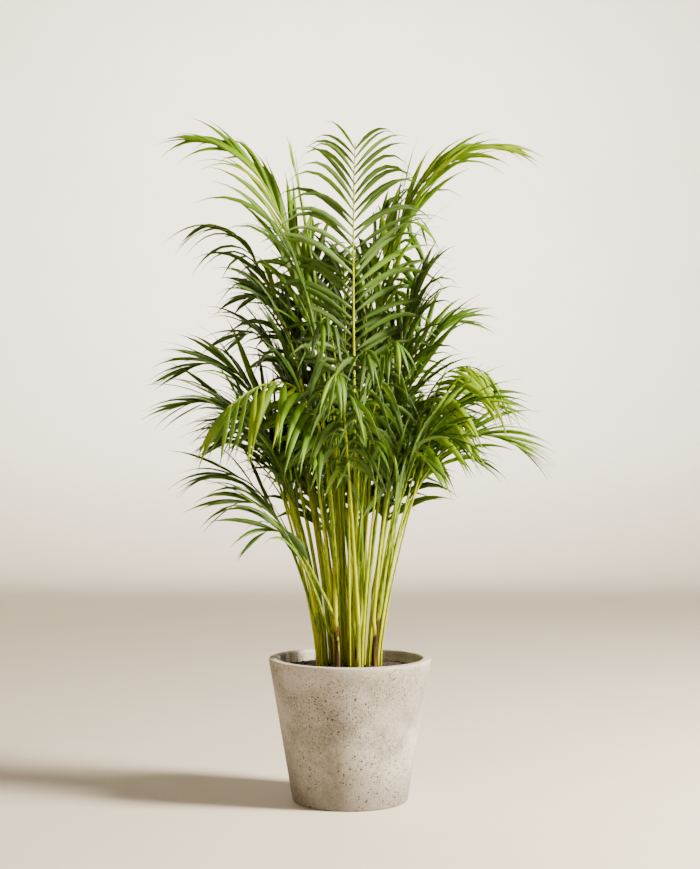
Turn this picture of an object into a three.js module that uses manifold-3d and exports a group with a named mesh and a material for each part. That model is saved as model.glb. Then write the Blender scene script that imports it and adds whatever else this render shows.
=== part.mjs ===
// A clump of feather-leaved cane palms in a tapered concrete planter.
// Millimetres, +Z up, origin at the centre of the planter's underside. +X is the clump's right, -Y its front.
// Each cane stands in the potting mix and carries three fronds. A frond is one grown piece: its petiole, the
// midrib that the petiole becomes, and pairs of leaflets along the midrib's outer half.

import * as THREE from "three";
import { mergeVertices } from "three/addons/utils/BufferGeometryUtils.js";
import Module from "manifold-3d";

const wasm = await Module();
wasm.setup();

// ---- Driving dimensions ----

const potHeight = 290;
const potRimRadius = 166;
const potBaseRadius = 117;
const potWall = 18;
const potFloor = 22;
const potEdgeRound = 4;
const fillGap = 16; // from the rim down to the potting mix
const moundHeight = 6; // the mix stands this much higher round the canes than at the wall
const clearance = 0.35; // between two pieces that touch

const clumpRadius = 60; // to the outer ring of canes
const caneFootRadius = 6.5;
const caneTopRadius = 4.8;
const caneDepth = 24; // of a cane's foot in the mix
const petioleRadius = 4.2;
const midribTipRadius = 1.3;
const leafletThickness = 1.3;
const stemRoom = 1.2; // kept free between two stems that pass each other
const topFrondGap = 1.35; // from a cane's top to the frond that stands on it

// ---- The plant's habit ----

// bare: share of the frond's length with no leaflets. splay: leaflet angle to the midrib at the blade's foot and
// at its tip, in degrees. lift: how far leaflets rise out of the blade's plane, in degrees. droop: how far a
// leaflet's outer half turns down.
const habits = {
  fan: { bare: 0.45, pairs: 9, leaflet: 205, width: 18, splay: [62, 34], lift: 10, droop: 0.55 },
  crown: { bare: 0.5, pairs: 8, leaflet: 215, width: 17, splay: [40, 14], lift: 12, droop: 0.5 },
  arch: { bare: 0.5, pairs: 7, leaflet: 210, width: 18, splay: [56, 18], lift: 8, droop: 0.8 },
  veil: { bare: 0.5, pairs: 7, leaflet: 190, width: 18, splay: [58, 22], lift: -8, droop: 1.5 },
  skirt: { bare: 0.56, pairs: 5, leaflet: 170, width: 18, splay: [46, 16], lift: 0, droop: 0.9 },
  spear: { bare: 0.62, pairs: 3, leaflet: 160, width: 13, splay: [11, 6], lift: 4, droop: 0.05 },
};

// name, bearing round the pot's axis in degrees (0 is right, 90 is back), share of clumpRadius, height above the
// mix, outward lean of its top in degrees.
const canes = [
  ["a", 5, 1.0, 150, 6],
  ["b", 45, 1.0, 130, 6],
  ["c", 85, 1.0, 140, 6],
  ["d", 125, 1.0, 120, 6],
  ["e", 165, 1.0, 130, 6],
  ["f", 205, 1.0, 110, 7],
  ["g", 245, 1.0, 100, 5],
  ["h", 285, 1.0, 90, 3],
  ["i", 325, 1.0, 110, 5],
  ["j", 25, 0.46, 190, 2],
  ["k", 115, 0.46, 180, 2],
  ["l", 205, 0.46, 200, 2],
  ["m", 295, 0.46, 170, 1],
  ["n", 0, 0.0, 220, 0],
];

// Where on its cane a frond leaves: the share of the cane's height, and how far round from the cane's outer side,
// in degrees. The older fronds sit on opposite sides, and the youngest stands on the cane's top.
const leaves = {
  low: { share: 0.5, side: -100 },
  middle: { share: 0.76, side: 100 },
  top: { share: 1, side: 0 },
};

// cane, place on it, bearing of the arch, reach and height of the midrib's tip, lead and rise of the point that
// the arch aims at, habit, roll of the blade about its midrib in degrees. Reaches are from the pot's axis and
// heights above the mix.
const fronds = [
  ["l", "top", 178, 290, 1070, 80, 1035, "crown", -50],
  ["j", "top", 2, 300, 1060, 20, 1070, "crown", 40],
  ["m", "top", 275, 120, 1045, 25, 960, "fan", 0],
  ["l", "middle", 176, 300, 900, 140, 915, "arch", -30],
  ["j", "middle", 20, 155, 920, 75, 950, "veil", 25],
  ["j", "low", 350, 140, 770, 95, 660, "crown", 45],
  ["e", "top", 178, 330, 605, 165, 680, "arch", -25],
  ["f", "top", 190, 335, 530, 155, 585, "arch", -25],
  ["g", "top", 217, 300, 520, 35, 720, "veil", 0],
  ["h", "top", 262, 210, 570, 130, 690, "veil", 0],
  ["i", "top", 345, 290, 530, 135, 590, "arch", 20],
  ["a", "top", 350, 285, 590, 135, 690, "veil", 10],
  ["b", "top", 20, 235, 705, 105, 705, "arch", 30],
  ["a", "middle", 357, 335, 450, 150, 545, "arch", 20],
  ["e", "middle", 165, 270, 500, 150, 560, "arch", -15],
  ["f", "middle", 198, 250, 470, 140, 530, "arch", -20],
  ["i", "middle", 333, 230, 460, 120, 530, "arch", 20],
  ["e", "low", 175, 250, 455, 155, 500, "skirt", -25],
  ["f", "low", 187, 290, 385, 160, 430, "skirt", -25],
  ["g", "low", 215, 210, 275, 145, 320, "skirt", -30],
  ["g", "middle", 202, 250, 330, 165, 375, "skirt", -30],
  ["i", "low", 322, 190, 420, 95, 510, "skirt", 25],
  ["h", "low", 290, 150, 450, 90, 510, "skirt", 0],
  ["a", "low", 12, 260, 420, 125, 490, "skirt", 15],
  ["n", "top", 175, 115, 1020, 70, 835, "spear", 0],
  ["n", "middle", 60, 170, 960, 60, 880, "arch", -30],
  ["n", "low", 205, 150, 850, 60, 780, "arch", -30],
  ["l", "low", 188, 180, 750, 105, 750, "arch", -35],
  ["m", "middle", 250, 170, 685, 100, 785, "veil", 0],
  ["m", "low", 300, 190, 645, 110, 725, "veil", 0],
  ["k", "top", 95, 200, 850, 70, 880, "arch", 20],
  ["k", "middle", 120, 220, 900, 110, 930, "arch", 0],
  ["k", "low", 150, 230, 760, 110, 800, "arch", 25],
  ["c", "top", 80, 260, 720, 140, 800, "arch", 0],
  ["d", "top", 150, 260, 680, 140, 730, "arch", 20],
  ["h", "middle", 280, 190, 620, 110, 720, "veil", 0],
  ["b", "middle", 40, 290, 520, 160, 600, "arch", 0],
  ["c", "middle", 75, 270, 500, 150, 590, "arch", 0],
  ["d", "middle", 112, 280, 470, 155, 560, "arch", 0],
  ["b", "low", 52, 260, 450, 150, 500, "skirt", 0],
  ["c", "low", 88, 250, 440, 140, 490, "skirt", 0],
  ["d", "low", 128, 270, 450, 150, 500, "skirt", 0],
];

// ---- Materials ----

const concrete = new THREE.MeshStandardMaterial({ color: 0xb3aca1, roughness: 0.9, metalness: 0 });
const mix = new THREE.MeshStandardMaterial({ color: 0x2b2018, roughness: 1, metalness: 0 });
const caneSkin = new THREE.MeshStandardMaterial({ color: 0xa9ad38, roughness: 0.5, metalness: 0 });
const leaf = new THREE.MeshStandardMaterial({ color: 0x3f6b1c, roughness: 0.45, metalness: 0 });

// ---- Joining and cutting ----

// A three.js geometry as a manifold-3d solid: corners merged, faces that have collapsed to a line dropped.
function solidOf(geometry) {
  const bare = geometry.clone();
  bare.deleteAttribute("normal");
  bare.deleteAttribute("uv");
  const merged = mergeVertices(bare, 1e-4);
  const corners = merged.index.array;
  const triangles = [];
  for (let i = 0; i < corners.length; i += 3) {
    const [a, b, c] = corners.subarray(i, i + 3);
    if (a !== b && b !== c && c !== a) triangles.push(a, b, c);
  }
  const mesh = new wasm.Mesh({
    numProp: 3,
    vertProperties: merged.attributes.position.array,
    triVerts: new Uint32Array(triangles),
  });
  return new wasm.Manifold(mesh);
}

function geometryOf(solid) {
  const { vertProperties, triVerts } = solid.getMesh();
  const geometry = new THREE.BufferGeometry();
  geometry.setAttribute("position", new THREE.BufferAttribute(new Float32Array(vertProperties), 3));
  geometry.setIndex(new THREE.BufferAttribute(new Uint32Array(triVerts), 1));
  geometry.computeVertexNormals();
  return geometry;
}

// A closed body swept along a path: a cylinder whose points are moved. place takes a point's share of the length
// and its two section coordinates, each within -1 and 1, and gives where it goes.
function swept(sides, steps, place) {
  const geometry = new THREE.CylinderGeometry(1, 1, 1, sides, steps);
  const corners = geometry.attributes.position;
  for (let i = 0; i < corners.count; i++) {
    const to = place(corners.getY(i) + 0.5, corners.getX(i), corners.getZ(i));
    corners.setXYZ(i, to.x, to.y, to.z);
  }
  return geometry;
}

// ---- Planter ----

const roundSteps = 32;
const soilTop = potHeight - fillGap;
const potFlare = (potRimRadius - potBaseRadius) / potHeight;
const wallAcross = potWall * Math.hypot(1, potFlare); // the wall's width measured level
const outerRadiusAt = (z) => potBaseRadius + potFlare * z;
const innerRadiusAt = (z) => outerRadiusAt(z) - wallAcross;

// A profile of radii and heights, turned about +Z.
const turned = (profile) => new THREE.LatheGeometry(profile, roundSteps).rotateX(Math.PI / 2);

function planterGeometry() {
  const r = potEdgeRound;
  const profile = new THREE.Path();
  profile.moveTo(0, 0);
  profile.lineTo(potBaseRadius - r, 0);
  profile.quadraticCurveTo(potBaseRadius, 0, outerRadiusAt(r), r);
  profile.lineTo(outerRadiusAt(potHeight - r), potHeight - r);
  profile.quadraticCurveTo(potRimRadius, potHeight, potRimRadius - r, potHeight);
  profile.lineTo(innerRadiusAt(potHeight) + r, potHeight);
  profile.quadraticCurveTo(innerRadiusAt(potHeight), potHeight, innerRadiusAt(potHeight - r), potHeight - r);
  profile.lineTo(innerRadiusAt(potFloor), potFloor);
  profile.lineTo(0, potFloor);
  return turned(profile.getPoints(2));
}

// ---- Canes ----

const radians = THREE.MathUtils.degToRad;
const bearing = (degrees) => new THREE.Vector3(Math.cos(radians(degrees)), Math.sin(radians(degrees)), 0);
const up = new THREE.Vector3(0, 0, 1);

function makeCane([name, degrees, ring, height, lean]) {
  const out = bearing(degrees);
  const foot = out.clone().multiplyScalar(clumpRadius * ring).setZ(soilTop);
  const sweep = height * Math.tan(radians(lean));
  // share 0 is at the mix, 1 at the top, and below 0 it goes straight down.
  const pointAt = (share) =>
    foot
      .clone()
      .addScaledVector(up, height * share)
      .addScaledVector(out, sweep * Math.max(share, 0) ** 2);
  const radiusAt = (share) => THREE.MathUtils.lerp(caneFootRadius, caneTopRadius, Math.max(share, 0));
  return { name, degrees, height, pointAt, radiusAt };
}

const caneSides = 8;
const caneRings = 3;

// grow makes the same cane fatter all round, to cut its neighbours clear of it.
function caneGeometry(cane, grow = 0) {
  const lowest = -caneDepth / cane.height;
  return swept(caneSides, caneRings, (share, u, v) => {
    const along = THREE.MathUtils.lerp(lowest, 1, share);
    const end = share === 0 ? -grow : share === 1 ? grow : 0;
    const radius = cane.radiusAt(along) + grow;
    // CylinderGeometry turns about Y, and this cane about Z, so its section is mirrored to keep its faces out.
    return cane.pointAt(along).add(new THREE.Vector3(v * radius, u * radius, end));
  });
}

// ---- Frond midribs ----

const stemSteps = 10; // straight stretches in one frond's petiole and midrib
const armLength = 0.7; // share of the way to the aim point that each end of the arch holds its direction

function makeMidrib([caneName, place, degrees, reach, height, lead, rise], cane) {
  const out = bearing(degrees);
  const leave = leaves[place];
  const start = cane.pointAt(leave.share);
  const beside = cane.radiusAt(leave.share) + petioleRadius + clearance * 2;
  if (leave.share < 1) start.addScaledVector(bearing(cane.degrees + leave.side), beside);
  else start.addScaledVector(up, topFrondGap);
  const aim = out.clone().multiplyScalar(lead).setZ(soilTop + rise);
  const tip = out.clone().multiplyScalar(reach).setZ(soilTop + height);
  const arch = new THREE.CubicBezierCurve3(
    start,
    start.clone().lerp(aim, armLength),
    tip.clone().lerp(aim, armLength),
    tip,
  );
  arch.arcLengthDivisions = 200;
  return arch.getSpacedPoints(stemSteps);
}

const midribRadiusAt = (share) => THREE.MathUtils.lerp(petioleRadius, midribTipRadius, share);

// The nearest points of two straight stretches, p to q and r to s, as the vector between them and its length.
function gapBetween(p, q, r, s) {
  const d1 = q.clone().sub(p);
  const d2 = s.clone().sub(r);
  const w = p.clone().sub(r);
  const a = d1.dot(d1);
  const b = d1.dot(d2);
  const c = d2.dot(d2);
  const d = d1.dot(w);
  const e = d2.dot(w);
  const slant = Math.max(a * c - b * b, 1e-9);
  const alongFirst = THREE.MathUtils.clamp((b * e - c * d) / slant, 0, 1);
  const alongSecond = THREE.MathUtils.clamp((b * alongFirst + e) / c, 0, 1);
  const again = THREE.MathUtils.clamp((b * alongSecond - d) / a, 0, 1);
  return w.addScaledVector(d1, again).addScaledVector(d2, -alongSecond);
}

// Stems in a clump push each other aside. Wherever two midribs pass closer than their own thickness and
// stemRoom, both bend away a little, gently along their length, until they clear. Canes don't give way.
function makeRoom(midribs, posts) {
  const rounds = 60;
  const near = 300;
  for (let round = 0; round < rounds; round++) {
    const pushes = midribs.map((stem) => stem.map(() => new THREE.Vector3()));
    const counts = midribs.map((stem) => stem.map(() => 0));
    const press = (m, k, gap, amount) => {
      for (const end of [k, k + 1]) {
        pushes[m][end].addScaledVector(gap, amount / Math.max(gap.length(), 1e-6));
        counts[m][end] += 1;
      }
    };
    midribs.forEach((first, m) => {
      for (let k = 0; k < stemSteps; k++) {
        const thick = midribRadiusAt(k / stemSteps);
        for (let n = m + 1; n < midribs.length; n++) {
          const second = midribs[n];
          for (let j = 0; j < stemSteps; j++) {
            if (first[k].distanceToSquared(second[j]) > near * near) continue;
            const gap = gapBetween(first[k], first[k + 1], second[j], second[j + 1]);
            const short = thick + midribRadiusAt(j / stemSteps) + stemRoom - gap.length();
            if (short <= 0) continue;
            press(m, k, gap, short / 2);
            press(n, j, gap, -short / 2);
          }
        }
        for (const post of posts) {
          if (k === 0 && post.topFrond === m) continue;
          const gap = gapBetween(first[k], first[k + 1], post.foot, post.head);
          const room = k === 0 && post.fronds.includes(m) ? clearance : stemRoom;
          const short = thick + post.radius + room - gap.length();
          if (short > 0) press(m, k, gap, short);
        }
      }
    });
    midribs.forEach((stem, m) => {
      const push = pushes[m].map((v, k) => v.divideScalar(Math.max(counts[m][k], 1)));
      const spread = (k) =>
        push[k]
          .clone()
          .multiplyScalar(2)
          .add(push[k - 1])
          .add(push[Math.min(k + 1, stemSteps)])
          .multiplyScalar(0.3);
      stem.forEach((point, k) => k > 0 && point.add(spread(k)));
    });
  }
}

// ---- Fronds ----

// A number from -1 to 1 that is always the same for the same frond, leaflet and trait.
function whim(frond, leaflet, trait) {
  const mixed = Math.sin(frond * 12.9898 + leaflet * 78.233 + trait * 37.719) * 43758.5453;
  return (mixed - Math.floor(mixed)) * 2 - 1;
}

function midribPointAt(stem, share) {
  const at = share * stemSteps;
  const k = Math.min(Math.floor(at), stemSteps - 1);
  return stem[k].clone().lerp(stem[k + 1], at - k);
}

// The frame at a share of the midrib: along it, to its side and out of its upper face.
function midribFrameAt(stem, share, degrees, roll) {
  const reach = 0.03;
  const ahead = midribPointAt(stem, Math.min(share + reach, 1));
  const along = ahead.sub(midribPointAt(stem, Math.max(share - reach, 0))).normalize();
  const level = bearing(degrees - 90);
  const side = level.addScaledVector(along, -level.dot(along)).normalize();
  side.applyAxisAngle(along, radians(roll));
  return { along, side, face: side.clone().cross(along) };
}

// Leaflets are longest a third of the way up the blade and shorter towards both ends.
function leafletShareAt(blade) {
  const longest = 0.34;
  const shorterAtFoot = 0.3;
  const shorterAtTip = 0.52;
  return blade < longest
    ? 1 - shorterAtFoot * ((longest - blade) / longest) ** 2
    : 1 - shorterAtTip * ((blade - longest) / (1 - longest)) ** 1.5;
}

const lastLeaflet = 0.98; // share of the midrib's length, so that the last pair is rooted in it
const pairStagger = 0.4; // share of the step between pairs by which a left leaflet sits lower than its right one
// How far leaflets of one frond differ: degrees of splay and lift, and shares of length and droop.
const unevenness = { splay: 3, lift: 6, length: 0.06, droop: 0.3 };

// The bent centre line of one leaflet and the direction its upper face looks.
function leafletLine(frond, index, number, sideSign, turn = 0, cut = 1) {
  const { habit, stem, degrees, roll } = frond;
  const blade = number / (habit.pairs - 1);
  const stagger = sideSign < 0 ? -pairStagger / habit.pairs : 0;
  const share = THREE.MathUtils.lerp(habit.bare, lastLeaflet, Math.max(blade + stagger, 0));
  const root = midribPointAt(stem, share);
  const { along, side, face } = midribFrameAt(stem, share, degrees, roll);
  const each = number * 2 + (sideSign > 0 ? 1 : 0);
  const splay = radians(THREE.MathUtils.lerp(...habit.splay, blade) + unevenness.splay * whim(index, each, 1));
  const lift = radians(habit.lift * (1 - blade / 2) + unevenness.lift * whim(index, each, 2) + turn);
  const length = habit.leaflet * leafletShareAt(blade) * (1 + unevenness.length * whim(index, each, 3)) * cut;
  const across = side.multiplyScalar(sideSign * Math.cos(lift)).addScaledVector(face, Math.sin(lift));
  const first = along.clone().multiplyScalar(Math.cos(splay)).addScaledVector(across, Math.sin(splay));
  const fall = habit.droop * (1 + unevenness.droop * whim(index, each, 4));
  const second = first.clone().addScaledVector(up, -fall).normalize();
  const middle = root.clone().addScaledVector(first, length / 2);
  const end = middle.clone().addScaledVector(second, length / 2);
  const width = habit.width * Math.sqrt(leafletShareAt(blade));
  const foot = midribRadiusAt(share);
  return { line: new THREE.QuadraticBezierCurve3(root, middle, end), face, width, foot };
}

// A leaflet is a narrow roof: a ridge along its middle and two falling sides, widest before its half.
function leafletGeometry({ line, face, width, foot }, grow = 0) {
  const widest = 0.42;
  // The section is a triangle in a circle of radius 1: this wide each way from its middle, and this high.
  const sectionHalf = Math.sin(Math.PI / 3);
  const sectionHeight = 1.5;
  const first = line.getTangent(0);
  const flat = face.clone().addScaledVector(first, -face.dot(first)).normalize();
  return swept(3, 2, (share, u, v) => {
    const t = share < 0.5 ? 0 : share > 0.5 ? 1 : widest;
    const along = line.getTangent(t);
    const bend = new THREE.Quaternion().setFromUnitVectors(first, along);
    const normal = flat.clone().applyQuaternion(bend);
    const side = along.clone().cross(normal);
    const half = (t === 0 ? foot : t === 1 ? 0 : width) / 2 + grow;
    const thick = (t === 1 ? 0 : leafletThickness) / sectionHeight + grow;
    const point = line.getPoint(t).addScaledVector(along, t === 1 ? grow : 0);
    return point.addScaledVector(side, (u / sectionHalf) * half).addScaledVector(normal, v * thick);
  });
}

// A midrib is four-sided: flat on both flanks, where its leaflets leave it.
function midribGeometry({ stem, degrees, roll }) {
  return swept(4, stemSteps, (share, u, v) => {
    const { side, face } = midribFrameAt(stem, share, degrees, roll);
    const flank = midribRadiusAt(share) * Math.SQRT1_2;
    return midribPointAt(stem, share)
      .addScaledVector(side, (u + v) * flank)
      .addScaledVector(face, (v - u) * flank);
  });
}

// ---- Assembly ----

const plant = new THREE.Group();

function add(name, geometry, material) {
  const mesh = new THREE.Mesh(geometry, material);
  mesh.name = name;
  plant.add(mesh);
}

add("planter", planterGeometry(), concrete);

const caneList = canes.map(makeCane);
const grownCanes = caneList.map((cane) => solidOf(caneGeometry(cane, clearance)));
for (const cane of caneList) add(`cane_${cane.name}`, caneGeometry(cane), caneSkin);

function mixSolid() {
  const edge = innerRadiusAt(soilTop - moundHeight) - clearance;
  const foot = innerRadiusAt(potFloor) - clearance;
  const bottom = potFloor + clearance;
  const profile = [
    new THREE.Vector2(0, bottom),
    new THREE.Vector2(foot, bottom),
    new THREE.Vector2(edge, soilTop - moundHeight),
    new THREE.Vector2(clumpRadius + caneFootRadius * 2, soilTop),
    new THREE.Vector2(0, soilTop),
  ];
  return solidOf(turned(profile));
}
const mixWithPockets = wasm.Manifold.difference([mixSolid(), ...grownCanes]);
add("potting_mix", geometryOf(mixWithPockets), mix);

const frondList = fronds.map((row) => {
  const cane = caneList.find(({ name }) => name === row[0]);
  const habit = habits[row[7]];
  return { name: `frond_${row[0]}_${row[1]}`, habit, degrees: row[2], roll: row[8], stem: makeMidrib(row, cane) };
});
const posts = caneList.map((cane) => ({
  foot: cane.pointAt(0),
  head: cane.pointAt(1),
  radius: cane.radiusAt(leaves.low.share),
  fronds: fronds.flatMap((row, m) => (row[0] === cane.name ? [m] : [])),
  topFrond: fronds.findIndex((row) => row[0] === cane.name && row[1] === "top"),
}));
makeRoom(
  frondList.map(({ stem }) => stem),
  posts,
);

// Leaflets lie among each other. One that would run into a piece already there turns a little about its midrib,
// or stays shorter, and where the shortest has no room either, none grows.
const turns = [0, 10, -10, 20, -20];
const cuts = [1, 0.75, 0.5];
const attempts = cuts.flatMap((cut) => turns.map((turn) => ({ turn, cut })));

function boxed(geometry, owner) {
  geometry.computeBoundingBox();
  return { box: geometry.boundingBox, solid: solidOf(geometry), owner };
}

const meets = (a, b) => a.box.intersectsBox(b.box) && !a.solid.intersect(b.solid).isEmpty();
const midribs = frondList.map((frond, index) => boxed(midribGeometry(frond), index));
const standing = [...caneList.map((cane) => boxed(caneGeometry(cane), -1)), ...midribs];

function growLeaflet(frond, index, number, sideSign) {
  for (const { turn, cut } of attempts) {
    const line = leafletLine(frond, index, number, sideSign, turn, cut);
    const grown = boxed(leafletGeometry(line, clearance), index);
    if (!standing.some((piece) => piece.owner !== index && meets(grown, piece))) {
      return boxed(leafletGeometry(line), index);
    }
  }
  return null;
}

frondList.forEach((frond, index) => {
  const leaflets = [];
  for (let number = 0; number < frond.habit.pairs; number++) {
    for (const sideSign of [-1, 1]) {
      const leaflet = growLeaflet(frond, index, number, sideSign);
      if (leaflet) leaflets.push(leaflet);
    }
  }
  standing.push(...leaflets);
  const grown = wasm.Manifold.union([midribs[index].solid, ...leaflets.map(({ solid }) => solid)]);
  add(frond.name, geometryOf(grown), leaf);
});

export default plant;
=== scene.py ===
# %% [markdown]
# # A potted cane palm
#
# A clump of thin canes stands in a cast concrete planter and carries about forty arching feather fronds.
# The frame is the measured model: its solids say where each piece is. Each planter, mix, cane and frond made here
# stands for one of those solids, so it keeps its place and adds the look. Only the young shoots stand for none.

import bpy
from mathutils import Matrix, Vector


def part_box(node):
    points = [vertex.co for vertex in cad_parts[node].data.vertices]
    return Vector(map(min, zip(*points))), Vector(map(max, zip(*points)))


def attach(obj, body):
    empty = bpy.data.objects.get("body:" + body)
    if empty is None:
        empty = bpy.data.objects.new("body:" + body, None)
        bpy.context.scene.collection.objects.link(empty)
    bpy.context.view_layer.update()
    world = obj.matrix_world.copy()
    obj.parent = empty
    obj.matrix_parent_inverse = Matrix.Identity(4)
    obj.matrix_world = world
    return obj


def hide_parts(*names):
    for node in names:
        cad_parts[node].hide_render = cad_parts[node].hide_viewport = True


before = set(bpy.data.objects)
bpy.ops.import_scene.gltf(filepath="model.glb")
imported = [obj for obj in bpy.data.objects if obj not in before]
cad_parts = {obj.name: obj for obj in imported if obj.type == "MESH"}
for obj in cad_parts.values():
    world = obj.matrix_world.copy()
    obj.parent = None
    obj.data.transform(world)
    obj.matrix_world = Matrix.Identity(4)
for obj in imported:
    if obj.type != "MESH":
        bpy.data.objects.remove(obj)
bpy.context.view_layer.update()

# %% [markdown]
# ## Helpers
#
# Lengths are written in millimetres, as a gardener would measure them, and turned into metres where a point is
# made. A bearing is a level direction round the planter, which is how the canes and fronds are placed. One helper
# turns a finished bmesh into a piece of the object and hides the parts of the frame that it stands for.

# %% Libraries and small helpers
import math
import random

import bmesh
import bpy
from mathutils import Matrix, Quaternion, Vector

MM = 0.001
WELD = 1e-6
UP = Vector((0, 0, 1))


def mix(low, high, share):
    """The number or vector that is a share of the way from low to high."""
    return low + (high - low) * share


def ease(value):
    """0 below 0, 1 above 1, and smooth between."""
    value = min(max(value, 0), 1)
    return value * value * (3 - 2 * value)


def bearing(degrees):
    """The level direction at an angle round the planter: 0 is its right and 90 its back."""
    return Vector((math.cos(math.radians(degrees)), math.sin(math.radians(degrees)), 0))


def paint(red, green, blue):
    """A screen colour, each part from 0 to 255, as the linear colour that a shader works in."""

    def linear(part):
        part /= 255
        return part / 12.92 if part <= 0.04045 else ((part + 0.055) / 1.055) ** 2.4

    return (linear(red), linear(green), linear(blue), 1)


def place(mesh_maker, name, body, replaced, slot, *finishes):
    """Makes a piece from a finished bmesh, smooth where its faces are, riding on the body it belongs to."""
    mesh = bpy.data.meshes.new(name)
    mesh_maker.to_mesh(mesh)
    mesh_maker.free()
    piece = bpy.data.objects.new(name, mesh)
    bpy.context.scene.collection.objects.link(piece)
    for finish in finishes:
        mesh.materials.append(finish)
    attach(piece, body)
    if replaced:
        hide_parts(*replaced)
    return piece


# %% [markdown]
# ## Camera
#
# The camera stands level, three and a half metres in front of the plant and a little above the middle of its
# height. A long lens keeps the planter's sides nearly parallel.

# %% Camera
camera_data = bpy.data.cameras.new("camera")
camera_data.sensor_width = 36
camera_data.lens = 71.1
camera_data.shift_y = -0.005
camera = bpy.data.objects.new("camera", camera_data)
camera.location = (0, -3.5, 0.753)
camera.rotation_euler = (math.radians(90), 0, 0)
bpy.context.scene.collection.objects.link(camera)
bpy.context.scene.camera = camera
print("camera at", tuple(camera.location))


# %% [markdown]
# ## Shader sums
#
# Materials here are worked out from numbers: how far along a leaflet a point is, how rough the concrete is. Wired
# by hand that takes dozens of Math nodes, so a small class wraps a socket and lets the sums be written as sums.
# A second class holds one material: one method adds any node, and the rest are short names for the common ones.


# %% A number in a material
class Number:
    """A socket that carries a number. Sums written with it add their Math nodes."""

    def __init__(self, finish, socket):
        self.finish = finish
        self.socket = socket

    def math(self, operation, *others, swapped=False):
        values = [self, *others]
        if swapped:
            values.reverse()
        return self.finish.node("ShaderNodeMath", {"operation": operation}, dict(enumerate(values)))

    def __add__(self, other):
        return self.math("ADD", other)

    __radd__ = __add__

    def __sub__(self, other):
        return self.math("SUBTRACT", other)

    def __rsub__(self, other):
        return self.math("SUBTRACT", other, swapped=True)

    def __mul__(self, other):
        return self.math("MULTIPLY", other)

    __rmul__ = __mul__

    def __abs__(self):
        return self.math("ABSOLUTE")

    def ramp(self, start, end):
        """0 where this is at start, 1 where it is at end, and smooth between."""
        settings = {"interpolation_type": "SMOOTHSTEP"}
        rising = start < end
        sockets = {0: self, 1: min(start, end), 2: max(start, end), 3: 0 if rising else 1, 4: 1 if rising else 0}
        return self.finish.node("ShaderNodeMapRange", settings, sockets)


class Finish:
    """One material and the nodes in it."""

    def __init__(self, name):
        self.material = bpy.data.materials.new(name)
        self.material.use_nodes = True
        self.tree = self.material.node_tree
        self.tree.nodes.clear()

    def node(self, kind, settings=None, sockets=None, output=0):
        """Adds a node: its settings first, then what each socket holds or is linked to."""
        made = self.tree.nodes.new(kind)
        for name, value in (settings or {}).items():
            if name == "stops":
                for stop, (position, colour) in zip(self.stops(made, len(value)), value):
                    stop.position = position
                    stop.color = colour
            else:
                setattr(made, name, value)
        for key, value in (sockets or {}).items():
            if isinstance(value, Number):
                self.tree.links.new(value.socket, made.inputs[key])
            else:
                made.inputs[key].default_value = value
        return Number(self, made.outputs[output]) if made.outputs else None

    def stops(self, node, count):
        """A ramp's colour stops, as many as are asked for."""
        elements = node.color_ramp.elements
        while len(elements) < count:
            elements.new(1)
        return elements

    def attribute(self, name):
        return self.node("ShaderNodeAttribute", {"attribute_name": name}, output="Fac")

    def position(self):
        """Where a point is on the object, in metres."""
        return self.node("ShaderNodeTexCoord", output="Object")

    def stretched(self, x, y, z):
        """The position, with each direction scaled."""
        return self.node("ShaderNodeVectorMath", {"operation": "MULTIPLY"}, {0: self.position(), 1: (x, y, z)})

    def noise(self, scale, detail=4, vector=None, roughness=0.55):
        sockets = {"Vector": vector or self.position(), "Scale": scale, "Detail": detail, "Roughness": roughness}
        return self.node("ShaderNodeTexNoise", sockets=sockets)

    def blend(self, share, low, high):
        """A colour from low to high."""
        return self.node("ShaderNodeMix", {"data_type": "RGBA"}, {0: share, 6: low, 7: high}, output=2)

    def shades(self, share, *stops):
        return self.node("ShaderNodeValToRGB", {"stops": stops}, {0: share})

    def bump(self, height, strength, distance):
        sockets = {"Strength": strength, "Distance": distance, "Height": height}
        return self.node("ShaderNodeBump", sockets=sockets)

    def surface(self, **sockets):
        named = {name.replace("_", " "): value for name, value in sockets.items()}
        return self.node("ShaderNodeBsdfPrincipled", sockets=named)

    def done(self, shader):
        self.node("ShaderNodeOutputMaterial", sockets={"Surface": shader})
        return self.material


# %% [markdown]
# ## Floor and wall
#
# A studio's paper sweep has no line where its floor meets its wall. Here the sweep goes all the way round, like a
# wide bowl, so the plant can be seen from any side. Its outline runs from the middle of the floor, round a soft
# corner and up, and is spun about the upright axis. The faces are then turned to look inwards.

# %% Floor and wall in one round sheet, in metres
ROOM_RADIUS = 8.0
ROOM_HEIGHT = 8.0
CORNER = 2.5
CORNER_STEPS = 12


def spin_round(body, points, steps):
    """Turns a row of points into a smooth skin round the upright axis, with its faces outward."""
    edges = [body.edges.new(pair) for pair in zip(points, points[1:])]
    bmesh.ops.spin(
        body, geom=points + edges, cent=(0, 0, 0), axis=UP, angle=2 * math.pi, steps=steps, use_merge=True
    )
    bmesh.ops.remove_doubles(body, verts=body.verts, dist=WELD)
    bmesh.ops.recalc_face_normals(body, faces=body.faces)
    for face in body.faces:
        face.smooth = True


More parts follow.
